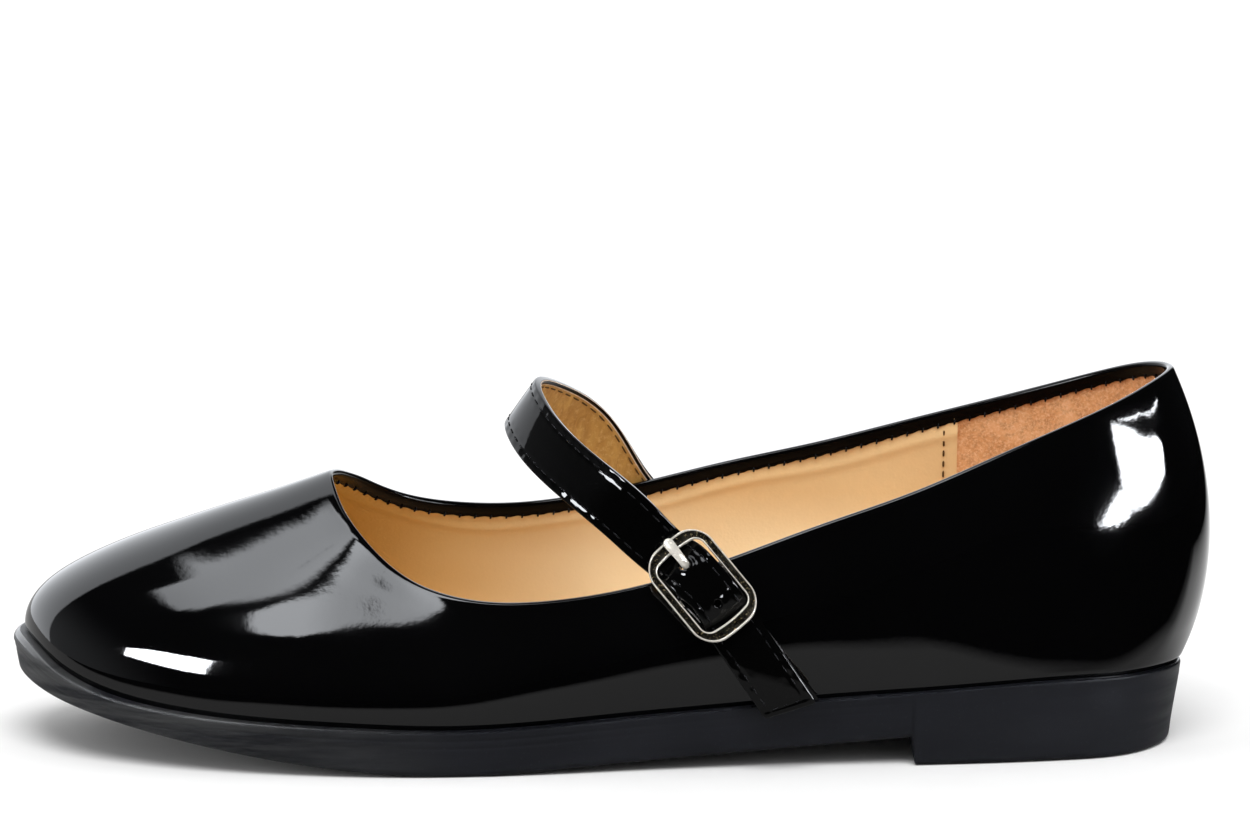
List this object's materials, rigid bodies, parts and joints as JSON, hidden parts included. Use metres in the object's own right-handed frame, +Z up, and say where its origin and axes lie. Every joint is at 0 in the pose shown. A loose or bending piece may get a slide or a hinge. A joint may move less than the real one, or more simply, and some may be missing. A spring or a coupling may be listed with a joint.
{
  "type": "ballet flat",
  "caption": "Low-cut patent ballet flat with a round toe, a buckled strap over the instep and a low heel, left shoe.",
  "frame": {"origin": "centre of the shoe's bounding box in plan, on the floor it stands on", "axes": "+X towards the heel, -X towards the toe, -Y towards the lateral side with the buckle, +Y towards the medial side, +Z up"},
  "size_m": [0.2518, 0.0824, 0.0794],
  "materials": {
    "outsole_rubber": "matt dark charcoal",
    "patent_leather": "black, high gloss",
    "strap_patent_leather": "black, high gloss",
    "insole_leather": "light tan, satin",
    "nickel_plate": "pale nickel plate, polished"
  },
  "bodies": {
    "root": {"outsole": "outsole_rubber", "upper": "patent_leather", "insole": "insole_leather", "instep_strap": "strap_patent_leather", "buckle_strap": "strap_patent_leather", "buckle_frame": "nickel_plate", "buckle_prong": "nickel_plate"}
  },
  "joints": []
}
